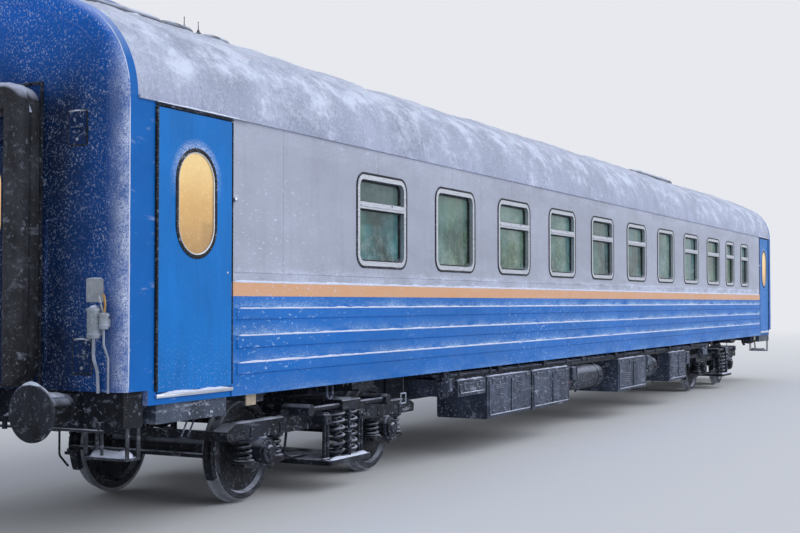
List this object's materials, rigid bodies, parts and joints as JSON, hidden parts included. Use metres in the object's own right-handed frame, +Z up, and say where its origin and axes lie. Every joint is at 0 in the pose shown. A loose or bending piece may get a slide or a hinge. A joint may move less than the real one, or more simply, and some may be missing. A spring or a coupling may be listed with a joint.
{
  "type": "passenger coach",
  "caption": "Long-distance sleeping coach: grey and blue ribbed body with an arched roof, hinged doors, gangways, automatic couplers and bogies with turning wheelsets.",
  "frame": {"origin": "on the plane the wheel flanges touch, under the middle of the coach", "axes": "+X along the coach to the rear end, +Y to the corridor side, +Z up"},
  "size_m": [25.4854, 3.149, 4.6674],
  "materials": {
    "body_paint": "satin",
    "end_paint": "satin",
    "door_paint": "satin",
    "roof_paint": "satin",
    "roof_gear": "satin",
    "chassis": "matte",
    "floor_board": "matte",
    "inner_panel": "satin",
    "berth_cover": "satin",
    "frame_metal": "brushed",
    "tinted_glass": "gloss",
    "door_glass": "gloss",
    "bellows_rubber": "matte",
    "cast_iron": "rough",
    "case_paint": "satin",
    "tank_paint": "satin",
    "step_metal": "matte",
    "spring_steel": "rough",
    "wheel_steel": "worn"
  },
  "bodies": {
    "coach": {"side_wall_compartment": "body_paint", "side_wall_corridor": "body_paint", "roof_shell": "roof_paint", "end_wall_front": "end_paint", "end_wall_rear": "end_paint", "floor_plate": "floor_board", "underframe": "chassis", "cross_walls": "inner_panel", "vestibule_bulkheads": "inner_panel", "corridor_wall": "inner_panel", "berths": "berth_cover", "window_frames": "frame_metal", "window_panes": "tinted_glass", "gangway_front": "bellows_rubber", "gangway_rear": "bellows_rubber", "coupler_front": "cast_iron", "coupler_rear": "cast_iron", "buffers": "cast_iron", "battery_boxes": "case_paint", "equipment_cabinets": "case_paint", "air_tanks": "tank_paint", "entry_steps": "step_metal", "roof_walkway": "roof_gear", "roof_hoods": "roof_gear", "end_fittings": "frame_metal", "brake_pipe": "chassis", "underfloor_gear": "case_paint"},
    "bogie_front": {"bogie_frame_front": "cast_iron", "bogie_bolster_front": "cast_iron", "axle_boxes_front": "cast_iron", "springs_front": "spring_steel", "brake_gear_front": "cast_iron"},
    "bogie_rear": {"bogie_frame_rear": "cast_iron", "bogie_bolster_rear": "cast_iron", "axle_boxes_rear": "cast_iron", "springs_rear": "spring_steel", "brake_gear_rear": "cast_iron"},
    "wheelset_1": {"wheels_1": "wheel_steel", "axle_1": "cast_iron"},
    "wheelset_2": {"wheels_2": "wheel_steel", "axle_2": "cast_iron"},
    "wheelset_3": {"wheels_3": "wheel_steel", "axle_3": "cast_iron"},
    "wheelset_4": {"wheels_4": "wheel_steel", "axle_4": "cast_iron"},
    "door_front_compartment": {"door_front_compartment": "door_paint", "door_pane_front_compartment": "door_glass"},
    "door_front_corridor": {"door_front_corridor": "door_paint", "door_pane_front_corridor": "door_glass"},
    "door_rear_compartment": {"door_rear_compartment": "door_paint", "door_pane_rear_compartment": "door_glass"},
    "door_rear_corridor": {"door_rear_corridor": "door_paint", "door_pane_rear_corridor": "door_glass"},
    "gangway_door_front": {"gangway_door_front": "end_paint", "gangway_pane_front": "door_glass"},
    "gangway_door_rear": {"gangway_door_rear": "end_paint", "gangway_pane_rear": "door_glass"}
  },
  "joints": [
    {"name": "bogie_front_swivel", "type": "hinge", "parent": "coach", "child": "bogie_front", "pos_m": [-8.5, 0, 0.925], "axis": [0, 0, 1], "range_deg": [-4, 4]},
    {"name": "bogie_rear_swivel", "type": "hinge", "parent": "coach", "child": "bogie_rear", "pos_m": [8.5, 0, 0.925], "axis": [0, 0, 1], "range_deg": [-4, 4]},
    {"name": "wheelset_1_spin", "type": "hinge", "parent": "bogie_front", "child": "wheelset_1", "pos_m": [-9.75, 0, 0.5065], "axis": [0, 1, 0], "continuous": true},
    {"name": "wheelset_2_spin", "type": "hinge", "parent": "bogie_front", "child": "wheelset_2", "pos_m": [-7.25, 0, 0.5065], "axis": [0, 1, 0], "continuous": true},
    {"name": "wheelset_3_spin", "type": "hinge", "parent": "bogie_rear", "child": "wheelset_3", "pos_m": [7.25, 0, 0.5065], "axis": [0, 1, 0], "continuous": true},
    {"name": "wheelset_4_spin", "type": "hinge", "parent": "bogie_rear", "child": "wheelset_4", "pos_m": [9.75, 0, 0.5065], "axis": [0, 1, 0], "continuous": true},
    {"name": "door_front_compartment_hinge", "type": "hinge", "parent": "coach", "child": "door_front_compartment", "pos_m": [-11.975, -1.4985, 2.338], "axis": [0, 0, 1], "range_deg": [0, 90]},
    {"name": "door_front_corridor_hinge", "type": "hinge", "parent": "coach", "child": "door_front_corridor", "pos_m": [-11.975, 1.4985, 2.338], "axis": [0, 0, -1], "range_deg": [0, 90]},
    {"name": "door_rear_compartment_hinge", "type": "hinge", "parent": "coach", "child": "door_rear_compartment", "pos_m": [11.975, -1.4985, 2.338], "axis": [0, 0, -1], "range_deg": [0, 90]},
    {"name": "door_rear_corridor_hinge", "type": "hinge", "parent": "coach", "child": "door_rear_corridor", "pos_m": [11.975, 1.4985, 2.338], "axis": [0, 0, 1], "range_deg": [0, 90]},
    {"name": "gangway_door_front_hinge", "type": "hinge", "parent": "coach", "child": "gangway_door_front", "pos_m": [-12.208, 0.364, 2.2365], "axis": [0, 0, 1], "range_deg": [0, 90]},
    {"name": "gangway_door_rear_hinge", "type": "hinge", "parent": "coach", "child": "gangway_door_rear", "pos_m": [12.208, -0.364, 2.2365], "axis": [0, 0, 1], "range_deg": [0, 90]}
  ]
}
